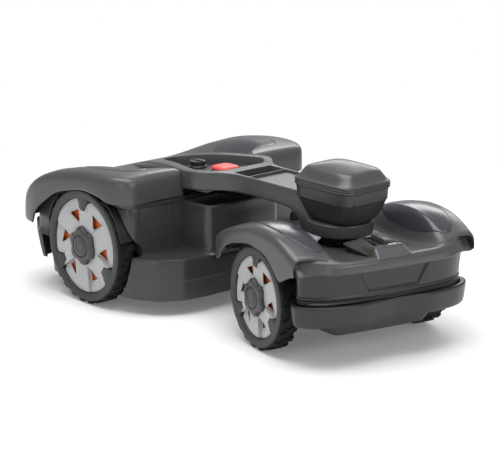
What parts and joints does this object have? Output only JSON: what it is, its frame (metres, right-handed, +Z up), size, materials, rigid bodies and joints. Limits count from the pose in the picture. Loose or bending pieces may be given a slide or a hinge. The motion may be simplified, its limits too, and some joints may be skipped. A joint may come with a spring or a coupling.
{
  "type": "robotic lawn mower",
  "caption": "Articulated robotic lawn mower: wide main module with blade disc and console, an arm reaching back to a small swivelling and rolling drive module, positioning module on the head.",
  "frame": {"origin": "on the ground under the middle of the overall box", "axes": "+X is forward (the way the main module faces), +Y is left, +Z is up; the rear module rests turned 12.5 degrees about the swivel axis"},
  "size_m": [0.9642, 0.548, 0.358],
  "materials": {
    "tyre": "matte moulded rubber",
    "orange_rim": "satin",
    "light_trim": "satin silver-white",
    "knob_plastic": "satin",
    "dark_plastic": "satin dark grey",
    "cover_plastic": "satin mid grey",
    "module_plastic": "satin dark grey",
    "gloss_insert": "polished",
    "lamp": "clear",
    "rubber": "matte",
    "steel": "brushed",
    "cast_alloy": "as cast",
    "stop_red": "satin",
    "knob_black": "satin",
    "brass": "plain",
    "battery_blue": "matte",
    "circuit_green": "matte",
    "black_plastic": "matte"
  },
  "bodies": {
    "main_module": {"lower_body": "dark_plastic", "main_cover": "cover_plastic", "wheel_liners": "rubber", "nose_lamps": "lamp", "charging_contacts": "brass", "fender_inserts": "gloss_insert", "arm_spine": "cast_alloy", "arm_shell": "cover_plastic", "arm_plate": "cover_plastic", "console_plate": "dark_plastic", "display_lens": "gloss_insert", "antenna_housing": "module_plastic", "antenna_board": "circuit_green", "antenna_hat": "module_plastic", "arm_cable": "rubber", "swivel_bearings": "steel", "battery": "battery_blue", "main_board": "circuit_green", "height_frame": "steel", "height_motor": "cast_alloy", "front_hub_motors": "cast_alloy"},
    "front_bumper": {"front_bumper": "dark_plastic"},
    "stop_button": {"stop_button": "stop_red"},
    "power_knob": {"power_knob": "knob_black"},
    "height_screw": {"height_screw": "steel"},
    "carriage": {"cutting_carriage": "black_plastic", "blade_motor": "cast_alloy"},
    "blade_disc": {"cutting_disc": "steel"},
    "skid_plate": {"skid_plate": "black_plastic"},
    "blade_1": {"blade_1": "steel"},
    "blade_2": {"blade_2": "steel"},
    "blade_3": {"blade_3": "steel"},
    "yoke": {"swivel_yoke": "cast_alloy", "collar": "rubber"},
    "rear_module": {"rear_chassis": "dark_plastic", "rear_cover": "cover_plastic", "rear_inserts": "gloss_insert", "centre_block": "cover_plastic", "roll_shaft": "steel", "rear_board": "circuit_green", "rear_hub_motors": "cast_alloy"},
    "rear_bumper": {"rear_bumper": "dark_plastic"},
    "front_left_wheel": {"front_left_tyre": "tyre", "front_left_rim": "orange_rim", "front_left_trim": "light_trim", "front_left_knob": "knob_plastic"},
    "front_right_wheel": {"front_right_tyre": "tyre", "front_right_rim": "orange_rim", "front_right_trim": "light_trim", "front_right_knob": "knob_plastic"},
    "rear_left_wheel": {"rear_left_tyre": "tyre", "rear_left_rim": "orange_rim", "rear_left_trim": "light_trim", "rear_left_knob": "knob_plastic"},
    "rear_right_wheel": {"rear_right_tyre": "tyre", "rear_right_rim": "orange_rim", "rear_right_trim": "light_trim", "rear_right_knob": "knob_plastic"}
  },
  "joints": [
    {"name": "front_left_drive", "type": "hinge", "parent": "main_module", "child": "front_left_wheel", "pos_m": [0.24572, 0.264, 0.1265], "axis": [0, 1, 0], "continuous": true},
    {"name": "front_right_drive", "type": "hinge", "parent": "main_module", "child": "front_right_wheel", "pos_m": [0.24572, -0.264, 0.1265], "axis": [0, 1, 0], "continuous": true},
    {"name": "rear_left_drive", "type": "hinge", "parent": "rear_module", "child": "rear_left_wheel", "pos_m": [-0.21921, 0.19428, 0.1068], "axis": [0.2164, 0.9763, 0], "continuous": true},
    {"name": "rear_right_drive", "type": "hinge", "parent": "rear_module", "child": "rear_right_wheel", "pos_m": [-0.30535, -0.19428, 0.1068], "axis": [0.2164, 0.9763, 0], "continuous": true},
    {"name": "steer_pivot", "type": "hinge", "parent": "main_module", "child": "yoke", "pos_m": [-0.26228, 0, 0.2], "axis": [0, 0, 1], "range_deg": [-22.5, 47.5]},
    {"name": "rear_roll", "type": "hinge", "parent": "yoke", "child": "rear_module", "pos_m": [-0.26228, 0, 0.14], "axis": [0.9763, -0.2164, 0], "range_deg": [-5, 5]},
    {"name": "front_bumper_press", "type": "slide", "parent": "main_module", "child": "front_bumper", "axis": [-1, 0, 0], "range_m": [0, 0.005], "stiffness_N_per_m": 4000, "springref_m": -0.002},
    {"name": "rear_bumper_press", "type": "slide", "parent": "rear_module", "child": "rear_bumper", "axis": [0.9763, -0.2164, 0], "range_m": [0, 0.005], "stiffness_N_per_m": 4000, "springref_m": -0.002},
    {"name": "stop_press", "type": "slide", "parent": "main_module", "child": "stop_button", "axis": [0, 0, -1], "range_m": [0, 0.0035], "stiffness_N_per_m": 1500, "springref_m": -0.001},
    {"name": "power_turn", "type": "hinge", "parent": "main_module", "child": "power_knob", "pos_m": [0.17972, 0, 0.275], "axis": [0, 0, 1], "range_deg": [-45, 90]},
    {"name": "height_screw_turn", "type": "hinge", "parent": "main_module", "child": "height_screw", "pos_m": [0.20072, 0.07, 0.18], "axis": [0, 0, 1], "range_deg": [-735, 735]},
    {"name": "cutting_height", "type": "slide", "parent": "main_module", "child": "carriage", "axis": [0, 0, 1], "range_m": [-0.02, 0.02]},
    {"name": "disc_spin", "type": "hinge", "parent": "carriage", "child": "blade_disc", "pos_m": [0.20072, 0, 0.072], "axis": [0, 0, 1], "continuous": true},
    {"name": "skid_spin", "type": "hinge", "parent": "blade_disc", "child": "skid_plate", "pos_m": [0.20072, 0, 0.061], "axis": [0, 0, 1], "continuous": true},
    {"name": "blade_1_swing", "type": "hinge", "parent": "blade_disc", "child": "blade_1", "pos_m": [0.28672, 0, 0.068], "axis": [0, 0, 1], "range_deg": [-75, 75]},
    {"name": "blade_2_swing", "type": "hinge", "parent": "blade_disc", "child": "blade_2", "pos_m": [0.15772, 0.07448, 0.068], "axis": [0, 0, 1], "range_deg": [-75, 75]},
    {"name": "blade_3_swing", "type": "hinge", "parent": "blade_disc", "child": "blade_3", "pos_m": [0.15772, -0.07448, 0.068], "axis": [0, 0, 1], "range_deg": [-75, 75]}
  ],
  "couplings": [
    {"joint": "height_screw_turn", "follows": "cutting_height", "rad_per_m": 628.32}
  ]
}
